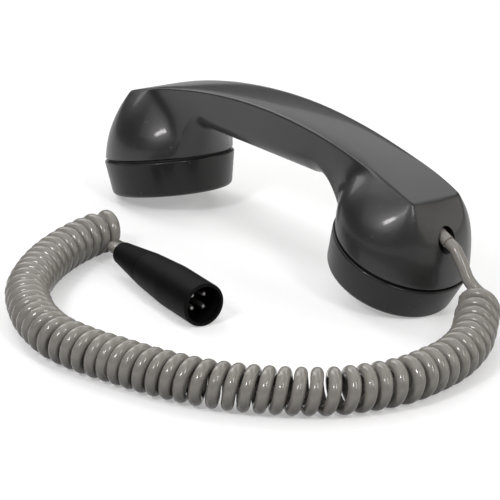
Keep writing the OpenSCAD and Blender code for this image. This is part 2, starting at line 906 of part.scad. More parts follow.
// The first curls hang from the lead and settle on the table
function lift_at(s) = s < lift_run ? lift_start * pow(1 - s / lift_run, 2) : 0;
function stretched(share) = share + end_stretch * sin(360 * share) / (2 * PI);

function curl_points() =
    let (
        axis = spline(curl_route, route_steps),
        lengths = inner_lengths(axis),
        total = lengths[len(lengths) - 1],
        count = curls * rings_per_curl
    )
    [
        for (i = [0 : count])
            let (
                s = total * stretched(i / count),
                spot = place_at(axis, lengths, s),
                phase = -90 + 360 * i / rings_per_curl,
                right = [spot[1][1], -spot[1][0]]
            )
            [spot[0][0] + curl_r * cos(phase) * right[0], spot[0][1] + curl_r * cos(phase) * right[1],
             curl_z + lift_at(s) + curl_r * sin(phase)]
    ];

connector_way = [cos(connector_turn), sin(connector_turn), 0];
connector_front = [connector_face[0], connector_face[1], shell_d / 2];
boot_end = connector_front - (shell_len + boot_len) * connector_way;
cord_end = connector_front - (shell_len - cord_inset) * connector_way;

function cord_points() =
    let (
        curl = curl_points(),
        lead = spline(concat([mouth + cord_d * exit_way], lead_route, [curl[0]]), 3),
        tail = spline(concat([curl[len(curl) - 1]], tail_route, [boot_end - cord_d * connector_way]), 3)
    )
    concat([mouth + relief_out * exit_way], [for (i = [0 : len(lead) - 2]) lead[i]], curl,
        [for (i = [1 : len(tail) - 1]) tail[i]], [boot_end, cord_end]);

function least_gap(p) = min([
    for (i = [0 : len(p) - 1])
        for (j = [i + 5 : 1 : len(p) - 1])
            norm(p[i] - p[j])
]) - cord_d;

module curly_cord() {
    p = cord_points();
    echo(least_gap_of_the_cord_to_itself = least_gap(p));
    color([0.62, 0.6, 0.57])
        swept_tube(p, cord_r, cord_sides);
}

// Connector: 0 at the shell's rim, positive out of its front
shell_r = shell_d / 2;
shell_bore_r = shell_bore_d / 2;
shell_step = 0.2;
shell_rear_r = boot_d / 2 + shell_step;
boot_lip = 1;
insert_h = 6;
spigot_r = 6.2;
spigot_len = 5.5;
chuck_len = 7.5;
chuck_front = -(shell_len - spigot_len - seat_gap - chuck_len);
web_t = 1.6;
cord_play = 0.35;
fit_play = 0.05;

module at_connector() {
    translate(connector_front)
        rotate([0, 0, connector_turn])
            rotate([0, 90, 0])
                children();
}

module connector_shell() {
    color([0.04, 0.04, 0.045])
        at_connector()
            difference() {
                rotate_extrude()
                    polygon([
                        [0, -shell_len], [shell_rear_r, -shell_len], [shell_r, -shell_front],
                        [shell_r, -edge_cut], [shell_r - edge_cut, 0], [0, 0]
                    ]);
                translate([0, 0, -shell_depth - insert_h])
                    cylinder(h = shell_depth + insert_h + over, r = shell_bore_r);
                translate([0, 0, chuck_front - over])
                    cylinder(h = over - chuck_front, r = spigot_r - web_t);
                translate([0, 0, -shell_len - over])
                    cylinder(h = shell_len + chuck_front + over, r = spigot_r + fit_play);
            }
}

module at_pins() {
    for (i = [0 : pins - 1])
        rotate([0, 0, 360 * (i + 0.5) / pins])
            translate([pin_circle_d / 2, 0, 0])
                children();
}

module connector_insert() {
    color([0.06, 0.06, 0.06])
        at_connector()
            difference() {
                translate([0, 0, -shell_depth - insert_h])
                    cylinder(h = insert_h, r = shell_bore_r - fit_play);
                at_pins()
                    translate([0, 0, -shell_depth - insert_h - over])
                        cylinder(h = insert_h + 2 * over, d = pin_d + 2 * fit_play);
            }
}

module connector_pins() {
    color("silver")
        at_connector()
            at_pins()
                translate([0, 0, -shell_depth - insert_h])
                    cylinder(h = shell_depth + insert_h - pin_recess, d = pin_d);
}

module connector_boot() {
    color([0.04, 0.04, 0.045])
        at_connector()
            difference() {
                rotate_extrude()
                    polygon([
                        [0, -shell_len - boot_len], [boot_end_d / 2 - edge_cut, -shell_len - boot_len],
                        [boot_end_d / 2, -shell_len - boot_len + edge_cut],
                        [boot_d / 2, -shell_len - boot_lip],
                        [boot_d / 2, -shell_len], [spigot_r, -shell_len],
                        [spigot_r, -shell_len + spigot_len], [0, -shell_len + spigot_len]
                    ]);
                translate([0, 0, -shell_len - boot_len - over])
                    cylinder(h = boot_len + spigot_len + 2 * over, r = cord_r + cord_play);
            }
}

module connector_chuck() {
    color("ivory")
        at_connector()
            ring(chuck_front - chuck_len, chuck_front, cord_r + cord_play, spigot_r);
}

handle_body();
receiver_cap();
receiver_cap_seal();
receiver_felt();
receiver_case();
receiver_grille();
receiver_diaphragm();
receiver_coil();
receiver_magnet();
receiver_pot();
receiver_terminals();
transmitter_cap();
transmitter_cap_seal();
transmitter_felt();
transmitter_cup();
contact_springs();
terminal_screws();
mic_case();
mic_grille();
mic_diaphragm();
mic_coil();
mic_magnet();
mic_pot();
receiver_leads();
cord_conductors();
strain_relief();
cord_anchor();
curly_cord();
connector_boot();
connector_shell();
connector_insert();
connector_pins();
connector_chuck();
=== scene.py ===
"""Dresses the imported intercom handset: moulded handle, turned caps and connector, curly cord, finishes."""
import json
import math

import bpy
from mathutils import Matrix, Vector


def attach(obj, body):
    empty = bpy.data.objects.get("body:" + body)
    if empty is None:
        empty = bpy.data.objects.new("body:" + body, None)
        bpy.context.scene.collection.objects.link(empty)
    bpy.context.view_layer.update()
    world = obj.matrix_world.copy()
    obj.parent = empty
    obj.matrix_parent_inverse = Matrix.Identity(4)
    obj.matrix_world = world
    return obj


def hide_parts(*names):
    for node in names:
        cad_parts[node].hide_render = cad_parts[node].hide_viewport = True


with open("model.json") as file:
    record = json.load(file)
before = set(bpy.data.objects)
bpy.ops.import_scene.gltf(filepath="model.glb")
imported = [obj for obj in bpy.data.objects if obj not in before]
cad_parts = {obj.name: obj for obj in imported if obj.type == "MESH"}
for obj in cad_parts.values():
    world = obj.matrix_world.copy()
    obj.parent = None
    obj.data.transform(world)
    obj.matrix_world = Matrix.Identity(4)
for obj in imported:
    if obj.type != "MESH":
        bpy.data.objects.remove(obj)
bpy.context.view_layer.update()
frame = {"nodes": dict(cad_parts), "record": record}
nodes = frame["nodes"]
MM = 0.001

# Sizes of the part, in mm and degrees
HANDSET_REACH = 111
CREST_HEIGHT, CREST_RISE, CREST_CROWN, CREST_HALF_WIDTH = 70, 18, 1, 14.2
LOW_Z, LOW_HALF_WIDTH, KEEL_DEPTH = 54, 13.4, 9
EDGE_ANGLE, NECK_ANGLE, BEND_CORNER = 32, 30, 14
CAP_R, FACE_R, CAP_H, CAP_ROUND, CAP_FLOOR, CAP_DISH = 31, 28.8, 16.8, 2.5, 2.4, 0.8
CAP_BORE_R, MOUTH_ROUND, FLOOR_ROUND, DISH_ROUND, RIM_ROUND, RIM_TRIM = 26.85, 0.3, 0.8, 0.6, 0.8, 0.01
SOUND_HOLE_R, SOUND_HOLE_STEP, SOUND_RINGS, FIRST_RING_HOLES, SOUND_DRILL = 1.2, 5.2, 2, 6, 8
RIM_R, GROOVE, NECK_R, NECK_END, NECK_BORE_R, NECK_FILLET, SEAT = 30.5, 1.2, 26.8, -10, 24.2, 0.6, 3
THREAD_PITCH, THREAD_DEPTH, THREAD_SLOPE, THREAD_LAND = 3, 0.7, 1.6, 0.3
THREAD_TOP, THREAD_END = 0.5, 0.8
HOLE_Z, HOLE_R, HOLE_DEPTH, HOLE_OVERRUN, EXIT_ANGLE, RELIEF_OUT = 36, 4.8, 9, 8, 22, 2
CORD_D, CURL_R, CURL_Z, CURLS, END_STRETCH = 5.26, 6.87, 9.6, 58, 0.12
CONNECTOR_TURN, CONNECTOR_FRONT, CORD_HELD = -7.5, (61.5, -90.5, 9.5), 10
SHELL_LEN, SHELL_R, SHELL_BACK_R, SHELL_TAPER = 46.5, 9.5, 8, 25
SHELL_BORE_R, SHELL_BORE, SHELL_WAIST_R, SHELL_WAIST, SHELL_SOCKET_R = 8, 22, 4.6, 33.2, 6.25
SHELL_LIP_ROUND, SHELL_MOUTH_ROUND, SHELL_TAPER_ROUND = 0.9, 0.35, 1.5
SHELL_BACK_ROUND, SHELL_SOCKET_ROUND = 0.5, 0.2
BOOT_LEN, BOOT_R, BOOT_END_R, BOOT_BORE_R, BOOT_BAND = 23.5, 7.8, 5, 2.75, 1
BOOT_SPIGOT_R, BOOT_SPIGOT = 6.2, 5.5
BOOT_END_ROUND, BOOT_BAND_ROUND, BOOT_EDGE_ROUND = 0.9, 0.4, 0.3
PINS, PIN_RING_R, PIN_R, PIN_SHOULDER, PIN_TIP_R, PIN_TIP = 4, 4, 1.15, 5.6, 0.55, 5
PIN_FOOT_ROUND, PIN_SHOULDER_ROUND, PIN_TIP_ROUND = 0.1, 0.6, 0.3


def mix(a, b, share):
    return a + (b - a) * share


def bow(a, corner, b, share):
    """On the curve from a to b that leans to the corner."""
    return mix(mix(a, corner, share), mix(corner, b, share), share)


def rest_height(tilt):
    a = math.radians(tilt)
    return (FACE_R - CAP_ROUND) * math.sin(a) + CAP_ROUND * (1 - math.cos(a)) + CAP_H * math.cos(a)


class Head:
    """One end of the handset: its axis leans outwards by tilt, and its cap's rim is at x, z."""

    def __init__(self, side, tilt, reach, fullness, bend, shoulder):
        self.side, self.tilt, self.fullness = side, math.radians(tilt), fullness
        self.bend, self.shoulder = bend, shoulder
        self.x = side * (HANDSET_REACH - CAP_R * math.cos(self.tilt))
        self.z = rest_height(tilt)
        self.crest_end = self.x + side * reach
        self.place = Matrix.Translation((self.x, 0, self.z)) @ Matrix.Rotation(side * self.tilt, 4, "Y")

    def point(self, angle, radius, height):
        """A point round the axis: angle 0 is outermost, 90 the near side, 180 faces the other head."""
        a = math.radians(angle)
        return self.place @ Vector((self.side * radius * math.cos(a), -radius * math.sin(a), height))


receiver = Head(side=-1, tilt=13, reach=15, fullness=2.2, bend=15, shoulder=23)
transmitter = Head(side=1, tilt=22, reach=18.5, fullness=3, bend=26, shoulder=14)
crest_mid = (receiver.crest_end + transmitter.crest_end) / 2
crest_half = (transmitter.crest_end - receiver.crest_end) / 2


def crest_point(x, y):
    """On the handle's top: it falls to both ends, and is crowned across between them."""
    fall = ((x - crest_mid) / crest_half) ** 2
    crown = CREST_CROWN * (1 - fall) * (y / CREST_HALF_WIDTH) ** 2
    return Vector((x, y, CREST_HEIGHT - CREST_RISE * fall - crown))


def wall_point(top, low, fullness, t):
    """Down the handle's side from the crest's edge: it flares first and then falls."""
    flare = 1 - (1 - t) ** fullness
    return Vector((mix(top.x, low.x, flare), mix(top.y, low.y, flare), mix(top.z, low.z, t)))


# Places of the cord hole and the connector
facet_top = crest_point(transmitter.crest_end, 0)
facet_low = transmitter.point(0, RIM_R, GROOVE)
hole_share = (facet_top.z - HOLE_Z) / (facet_top.z - facet_low.z)
mouth = wall_point(facet_top, facet_low, transmitter.fullness, hole_share)
exit_way = Vector((math.cos(math.radians(EXIT_ANGLE)), 0, -math.sin(math.radians(EXIT_ANGLE))))
cord_hole_place = Matrix.Translation(mouth) @ Matrix.Rotation(math.radians(90 + EXIT_ANGLE), 4, "Y")
connector_turn = math.radians(CONNECTOR_TURN)
connector_way = Vector((math.cos(connector_turn), math.sin(connector_turn), 0))
connector_front = Vector(CONNECTOR_FRONT)
connector_place = (Matrix.Translation(connector_front) @ Matrix.Rotation(connector_turn, 4, "Z")
                   @ Matrix.Rotation(math.radians(90), 4, "Y"))


# Camera, at the photograph's angle and distance
def set_camera(eye, yaw, pitch, roll, lens, sensor):
    """A camera at the eye, in mm, turned by its angles in degrees."""
    yaw, pitch, roll = math.radians(yaw), math.radians(pitch), math.radians(roll)
    right = Vector((math.cos(yaw), math.sin(yaw), 0))
    ahead = Vector((-math.sin(yaw) * math.cos(pitch), math.cos(yaw) * math.cos(pitch), -math.sin(pitch)))
    up = right.cross(ahead)
    turned_right = right * math.cos(roll) + up * math.sin(roll)
    turned_up = up * math.cos(roll) - right * math.sin(roll)
    bpy.ops.object.camera_add()
    camera = bpy.context.object
    camera.matrix_world = Matrix.Translation(Vector(eye) * MM) @ Matrix(
        (turned_right, turned_up, -ahead)).transposed().to_4x4()
    camera.data.lens = lens
    camera.data.sensor_width = sensor
    camera.data.sensor_fit = "HORIZONTAL"
    camera.data.clip_start = 0.05
    camera.data.clip_end = 20
    bpy.context.scene.camera = camera


set_camera(eye=(773.85, -675.43, 359.3), yaw=49.522, pitch=19.395, roll=3.2975, lens=171.487, sensor=36)


# Curly cord: lead, curls and tail on the route of the part's own points
CURL_ROUTE = [
    (131, 0), (136, -6), (142, -13), (149, -22), (156, -34), (161, -46), (164, -59), (166, -75), (164, -90),
    (160, -104), (153, -116), (145, -126), (137, -134), (127, -142), (116, -148), (104, -153), (91, -157),
    (77, -161), (61, -163), (47, -161), (32, -156), (12, -145), (-3, -131), (-15, -116), (-24, -101),
    (-30, -88), (-34, -76), (-35, -66)]
LEAD_ROUTE = [(117, 0, 31), (120, 0, 27.5), (123, 0, 23.5), (127, 1, 20), (131, 4, 16), (133, 5, 11)]
TAIL_ROUTE = [(-29, -66, 3), (-23.5, -68.5, 4), (-21, -73.5, 6), (-18.5, -78.5, 8.4)]
LIFT_START, LIFT_RUN = 5, 34
STEPS_PER_CURL, STEPS_PER_POINT, LEAD_STEPS = 28, 30, 6
JOINT_GUIDE, EASE_STRAIGHT, EASE_CURLED, EASE_ROUNDS = 4, 12, 8, 12
CORD_ROUNDNESS = 6


def spline(points, steps):
    """A smooth line through the points."""
    points = [Vector(p) for p in points]
    padded = [2 * points[0] - points[1]] + points + [2 * points[-1] - points[-2]]
    line = []
    for a, b, c, d in zip(padded, padded[1:], padded[2:], padded[3:]):
        for k in range(steps):
            t = k / steps
            line.append(0.5 * (2 * b + (c - a) * t + (2 * a - 5 * b + 4 * c - d) * t ** 2
                               + (3 * b - a - 3 * c + d) * t ** 3))
    return line + [points[-1]]


def curl_spots(line, count):
    """Points along the curls' axis, even on the inside of its bends and wider towards its ends."""
    steps = [b - a for a, b in zip(line, line[1:])]
    corners = [0.0] + [abs(a.angle_signed(b)) for a, b in zip(steps, steps[1:])] + [0.0]
    lengths = [0.0]
    for step, before, after in zip(steps, corners, corners[1:]):
        lengths.append(lengths[-1] + step.length - CURL_R * (before + after) / 2)
    spots = []
    i = 0
    for k in range(count + 1):
        share = k / count
        s = lengths[-1] * (share + END_STRETCH * math.sin(math.tau * share) / math.tau)
        while i < len(line) - 2 and lengths[i + 1] < s:
            i += 1
        spot = mix(line[i], line[i + 1], (s - lengths[i]) / (lengths[i + 1] - lengths[i]))
        spots.append((spot, steps[i].normalized(), s))
    return spots


def curl_line():
    """The curls, the first of them lifted towards the lead."""
    points = []
    axis = spline(CURL_ROUTE, STEPS_PER_POINT)
    for k, (spot, way, s) in enumerate(curl_spots(axis, CURLS * STEPS_PER_CURL)):
        phase = math.radians(-90 + 360 * k / STEPS_PER_CURL)
        lift = LIFT_START * (1 - s / LIFT_RUN) ** 2 if s < LIFT_RUN else 0
        height = CURL_Z + lift + CURL_R * math.sin(phase)
        points.append(Vector((spot.x + CURL_R * math.cos(phase) * way.y,
                              spot.y - CURL_R * math.cos(phase) * way.x, height)))
    return points


def eased(line, first, last):
    """Smooths the joint of two runs, from one index to another."""
    line = list(line)
    for _ in range(EASE_ROUNDS):
        line[first:last] = [(line[i - 1] + 2 * line[i] + line[i + 1]) / 4 for i in range(first, last)]
    return line


def cord_line():
    """The whole cord, from the strain relief to its held end inside the connector."""
    curl = curl_line()
    boot_end = connector_front - (SHELL_LEN + BOOT_LEN) * connector_way
    lead_points = [mouth + RELIEF_OUT * exit_way, mouth + CORD_D * exit_way, *LEAD_ROUTE]
    tail_points = [*TAIL_ROUTE, boot_end - CORD_D * connector_way, boot_end]
    lead = spline(lead_points + [curl[0], curl[JOINT_GUIDE]], LEAD_STEPS)[:-LEAD_STEPS]
    tail = spline([curl[-1 - JOINT_GUIDE], curl[-1]] + tail_points, LEAD_STEPS)[LEAD_STEPS:]
    inside = connector_front - (SHELL_LEN - CORD_HELD) * connector_way
    line = lead[:-1] + curl + tail[1:] + [mix(boot_end, inside, 0.5), inside]
    tail_start = len(line) - len(tail)
    line = eased(line, len(lead) - EASE_STRAIGHT, len(lead) + EASE_CURLED)
    return eased(line, tail_start - EASE_CURLED, tail_start + EASE_STRAIGHT)


def lay_cord():
    """The cord as one round curve, and its length."""
    line = [p * MM for p in cord_line()]
    data = bpy.data.curves.new("curly_cord_vinyl", "CURVE")
    data.dimensions = "3D"
    data.bevel_depth = CORD_D / 2 * MM
    data.bevel_resolution = CORD_ROUNDNESS
    data.use_fill_caps = True
    run = data.splines.new("POLY")
    run.points.add(len(line) - 1)
    for spot, p in zip(run.points, line):
        spot.co = (*p, 1)
    run.use_smooth = True
    cord = bpy.data.objects.new("curly_cord_vinyl", data)
    bpy.context.scene.collection.objects.link(cord)
    return cord, sum((b - a).length for a, b in zip(line, line[1:]))


# Modelling: a primitive, edit mode, modifiers
SKIN_GAP, EDGE_SOFT, TURNED_EDGE_SOFT = 0.002, 40, 35
BEND_STEPS, ARC_STEPS, DRILL_SIDES, HOLE_SIDES = 6, 8, 20, 64
CAP_STEPS, SHELL_STEPS, BOOT_STEPS, PIN_STEPS = 160, 128, 96, 32


def pick(piece):
    """Selects one piece alone, as the active one."""
    bpy.ops.object.select_all(action="DESELECT")
    bpy.context.view_layer.objects.active = piece
    piece.select_set(True)


def start(name):
    """Names the primitive that was just added."""
    piece = bpy.context.object
    pick(piece)
    piece.name = piece.data.name = name
    return piece


def apply_modifier(piece, kind, **settings):
    pick(piece)
    modifier = piece.modifiers.new(kind.lower(), kind)
    for key, value in settings.items():
        setattr(modifier, key, value)
    bpy.ops.object.modifier_apply(modifier=modifier.name)


def smooth(piece, angle):
    pick(piece)
    bpy.ops.object.shade_smooth_by_angle(angle=math.radians(angle))


def tidy_skin(piece, unit):
    """Merges doubles and turns every face outwards; the unit is a millimetre in the mesh."""
    pick(piece)
    bpy.ops.object.mode_set(mode="EDIT")
    bpy.ops.mesh.select_all(action="SELECT")
    bpy.ops.mesh.remove_doubles(threshold=SKIN_GAP * unit)
    bpy.ops.mesh.normals_make_consistent(inside=False)
    bpy.ops.object.mode_set(mode="OBJECT")


def rounded(outline):
    """A closed outline with its corners rounded: each point is (radius, height, rounding)."""
    points = []
    count = len(outline)
    for i, (r, h, bend) in enumerate(outline):
        here = Vector((r, h))
        if not bend:
            points.append(here)
            continue
        before = Vector(outline[i - 1][:2])
        after = Vector(outline[(i + 1) % count][:2])
        a = here + (before - here).normalized() * bend
        b = here + (after - here).normalized() * bend
        points += [bow(a, here, b, k / BEND_STEPS) for k in range(BEND_STEPS + 1)]
    return points


def turn_piece(name, outline, place, steps):
    """Turns a closed outline round the axis, as on a lathe, and sets the piece at its place."""
    points = rounded(outline)
    bpy.ops.object.select_all(action="DESELECT")
    bpy.ops.mesh.primitive_circle_add(vertices=len(points), radius=1)
    piece = start(name)
    for vertex, p in zip(piece.data.vertices, points):
        vertex.co = (p.x, 0, p.y)
    bpy.ops.object.mode_set(mode="EDIT")
    bpy.ops.mesh.select_all(action="SELECT")
    bpy.ops.mesh.spin(steps=steps, angle=math.tau, center=(0, 0, 0), axis=(0, 0, 1), use_auto_merge=True)
    bpy.ops.object.mode_set(mode="OBJECT")
    tidy_skin(piece, 1)
    piece.data.transform(Matrix.Scale(MM, 4) @ place)
    return piece


def cut_away(piece, cutter):
    """Takes the cutter's shape out of the piece."""
    apply_modifier(piece, "BOOLEAN", operation="DIFFERENCE", object=cutter, solver="EXACT")
    bpy.data.objects.remove(cutter)


def add_sound_drill(x, y):
    bpy.ops.mesh.primitive_cylinder_add(
        vertices=DRILL_SIDES, radius=SOUND_HOLE_R, depth=SOUND_DRILL, location=(x, y, -CAP_H))


def sound_hole_cutter(place):
    """Pins that drill the middle hole and the rings of holes round it."""
    bpy.ops.object.select_all(action="DESELECT")
    add_sound_drill(0, 0)
    cutter = start("drill")
    bpy.ops.object.transform_apply(location=True)
    bpy.ops.object.mode_set(mode="EDIT")
    for ring in range(1, SOUND_RINGS + 1):
        radius, count = SOUND_HOLE_STEP * ring, FIRST_RING_HOLES * ring
        for k in range(count):
            a = math.tau * k / count
            add_sound_drill(radius * math.cos(a), radius * math.sin(a))
    bpy.ops.object.mode_set(mode="OBJECT")
    cutter.data.transform(Matrix.Scale(MM, 4) @ place)
    return cutter


def arc(centre_r, centre_h, radius, first, last):
    """Points of a round edge, as an outline has them, from one angle to another."""
    angles = [math.radians(mix(first, last, k / ARC_STEPS)) for k in range(ARC_STEPS + 1)]
    return [(centre_r + radius * math.cos(a), centre_h + radius * math.sin(a), 0) for a in angles]


def screw_cap(name, head):
    """A cap, turned in one piece and drilled with its sound holes."""
    floor = -(CAP_H - CAP_FLOOR)
    edge_r, edge_h = FACE_R - CAP_ROUND, -CAP_H + CAP_ROUND
    lean = -math.degrees(math.atan2(CAP_R - FACE_R, CAP_H - RIM_ROUND - CAP_ROUND))
    outline = [
        (CAP_BORE_R, 0, MOUTH_ROUND), (CAP_BORE_R, floor, FLOOR_ROUND), (0, floor, 0),
        (0, -CAP_H + CAP_DISH, 0), (edge_r - CAP_ROUND, -CAP_H, DISH_ROUND),
        *arc(edge_r, edge_h, CAP_ROUND, -90, lean),
        *arc(CAP_R - RIM_ROUND - RIM_TRIM, -RIM_ROUND, RIM_ROUND, lean, 90)]
    cap = turn_piece(name, outline, head.place, CAP_STEPS)
    cut_away(cap, sound_hole_cutter(head.place))
    smooth(cap, TURNED_EDGE_SOFT)
    return cap


# Handle moulding, laid point by point because its wall runs from a straight crest into round rims
CORNER_R, RIDGE_ROUND, RIDGE_GRIP_ROUND, WALL_ROUND_SHARE = 2.2, 1.1, 6, 1.3
GRIP_START, GRIP_RUN, CREST_FAN = 12, 60, 4
LOW_ROUND, LOW_ROUND_STEPS = 0.4, 4
END_COLUMNS, CORNER_COLUMNS, SIDE_COLUMNS, BEND_COLUMNS, GRIP_COLUMNS = 10, 8, 44, 18, 24
WALL_ROWS, RIDGE_ROWS, KEEL_ROWS, CREST_ROWS, NECK_ROWS = 18, 7, 8, 10, 44
VALLEY_COLUMNS, VALLEY_ROUNDS, VALLEY_PULL, VALLEY_LOW_SHARE = 14, 60, 0.5, 0.15
SEARCH_END, SEARCH_ROUNDS = 0.6, 30


class Column:
    """One line down the handle's wall, from the crest's edge to the rim or to the keel's edge."""

    def __init__(self, crest, low, fullness, inwards, bend, angle, head):
        self.crest, self.inwards, self.top = Vector(crest), inwards, crest_point(*crest)
        self.low, self.fullness, self.bend, self.angle, self.head = low, fullness, bend, angle, head

    def wall(self, t):
        return wall_point(self.top, self.low, self.fullness, t)

    def rows(self):
        """The rounded ridge first, then the wall below it."""
        out = min(1, max(0, (crest_half - abs(self.top.x - crest_mid) - GRIP_START) / GRIP_RUN))
        round_size = mix(RIDGE_ROUND, RIDGE_GRIP_ROUND, out * out * (3 - 2 * out))
        short, long = 0.0, SEARCH_END
        for _ in range(SEARCH_ROUNDS):
            t = (short + long) / 2
            if (self.wall(t) - self.top).length < RIDGE_ROUND * WALL_ROUND_SHARE:
                short = t
            else:
                long = t
        inner = crest_point(*(self.crest + self.inwards * round_size))
        outer = self.wall(long)
        ridge = [bow(inner, self.top, outer, k / RIDGE_ROWS) for k in range(RIDGE_ROWS)]
        return ridge + [self.wall(mix(long, 1, k / WALL_ROWS)) for k in range(WALL_ROWS + 1)]


def head_columns(head):
    """From the middle of the end facet, round the corner and along the near side to the start of the grip."""
    last = 180 - NECK_ANGLE
    edge_cos, last_cos = math.cos(math.radians(EDGE_ANGLE)), math.cos(math.radians(last))
    neck = head.point(last, RIM_R, GROOVE)
    root_x = neck.x + head.side * head.shoulder
    grip = Vector((neck.x - head.side * head.bend, -LOW_HALF_WIDTH, LOW_Z))
    corner = grip + Vector((head.side * BEND_CORNER, 0, 0))
    run = abs(root_x - head.crest_end)
    flat = CREST_HALF_WIDTH - CORNER_R
    end_inwards, side_inwards = Vector((-head.side, 0)), Vector((0, 1))

    def angle_at(p):
        if p <= CREST_HALF_WIDTH:
            return EDGE_ANGLE * p / CREST_HALF_WIDTH
        return math.degrees(math.acos(edge_cos - (p - CREST_HALF_WIDTH) / run * (edge_cos - last_cos)))

    def rim_column(crest, angle, inwards):
        return Column(crest, head.point(angle, RIM_R, GROOVE), head.fullness, inwards, 0, angle, head)

    columns = []
    for k in range(END_COLUMNS):
        p = flat * k / END_COLUMNS
        columns.append(rim_column((head.crest_end, -p), angle_at(p), end_inwards))
    for k in range(CORNER_COLUMNS):
        phi = math.pi / 2 * k / CORNER_COLUMNS
        crest_x = head.crest_end - head.side * CORNER_R * (1 - math.cos(phi))
        crest_y = -flat - CORNER_R * math.sin(phi)
        angle = angle_at(flat + 2 * CORNER_R * k / CORNER_COLUMNS)
        inwards = end_inwards * math.cos(phi) + side_inwards * math.sin(phi)
        columns.append(rim_column((crest_x, crest_y), angle, inwards))
    first = angle_at(CREST_HALF_WIDTH + CORNER_R)
    for k in range(SIDE_COLUMNS + 1):
        a = mix(first, last, k / SIDE_COLUMNS)
        along = (edge_cos - math.cos(math.radians(a))) / (edge_cos - last_cos)
        columns.append(rim_column((mix(head.crest_end, root_x, along), -CREST_HALF_WIDTH), a, side_inwards))
    for k in range(1, BEND_COLUMNS + 1):
        f = k / BEND_COLUMNS
        crest = (mix(root_x, grip.x, f), -CREST_HALF_WIDTH)
        fullness = mix(head.fullness, 1, f)
        columns.append(Column(crest, bow(neck, corner, grip, f), fullness, side_inwards, f, None, head))
    return columns


def keel_point(column, share):
    """Across the underside: a rim's arc at a neck, turning into the keel's half ellipse at the grip."""
    f, head, low = column.bend, column.head, column.low
    lean = mix(head.tilt, -math.pi / 2, f)
    edge, here = math.radians(NECK_ANGLE), math.radians(NECK_ANGLE * share)
    rim_depth = RIM_R * (math.cos(here) - math.cos(edge))
    depth = mix(rim_depth, KEEL_DEPTH * math.cos(math.pi / 2 * share), f)
    span = mix(math.sin(here) / math.sin(edge), math.sin(math.pi / 2 * share), f)
    return Vector((low.x - head.side * depth * math.cos(lean), -low.y * span, low.z + depth * math.sin(lean)))


def neck_rings(head, angles):
    """Rings from the rim inwards, down the threaded neck, round its end and up its bore."""
    rings = [[(NECK_R + NECK_FILLET, GROOVE)] * len(angles), [(NECK_R, GROOVE)] * len(angles)]
    for k in range(1, NECK_ROWS):
        height = mix(GROOVE, NECK_END, k / NECK_ROWS)
        threaded = NECK_END + THREAD_END < height < -THREAD_TOP
        ring = []
        for a in angles:
            wave = abs(((height / THREAD_PITCH + head.side * a / 360) % 1) * 2 - 1)
            cut = THREAD_DEPTH * min(1, max(0, THREAD_SLOPE * wave - THREAD_LAND))
            ring.append((NECK_R - (cut if threaded else 0), height))
        rings.append(ring)
    for radius, height in ((NECK_R, NECK_END), (NECK_BORE_R, NECK_END), (NECK_BORE_R, SEAT)):
        rings.append([(radius, height)] * len(angles))
    return rings


def ease_valley(rows, middle):
    """Rounds the valley where a head's bell meets the grip's side, most of all under the ridge."""
    depth = len(rows[0])
    for _ in range(VALLEY_ROUNDS):
        before = [list(row) for row in rows]
        for k in range(middle - VALLEY_COLUMNS, middle + VALLEY_COLUMNS + 1):
            near = math.cos(math.pi / 2 * (k - middle) / (VALLEY_COLUMNS + 1)) ** 2
            for j in range(1, depth - 1):
                share = near * mix(1, VALLEY_LOW_SHARE, j / (depth - 1))
                between = (before[k - 1][j] + before[k + 1][j]) / 2
                rows[k][j] = mix(before[k][j], between, share * VALLEY_PULL)


def near_columns():
    """The near side from end to end: one head, the grip, the other head."""
    left, right = head_columns(receiver), head_columns(transmitter)
    grip = []
    for k in range(1, GRIP_COLUMNS):
        low = mix(left[-1].low, right[-1].low, k / GRIP_COLUMNS)
        head = receiver if k < GRIP_COLUMNS / 2 else transmitter
        grip.append(Column((low.x, -CREST_HALF_WIDTH), low, 1, Vector((0, 1)), 1, None, head))
    return left + grip + right[::-1]


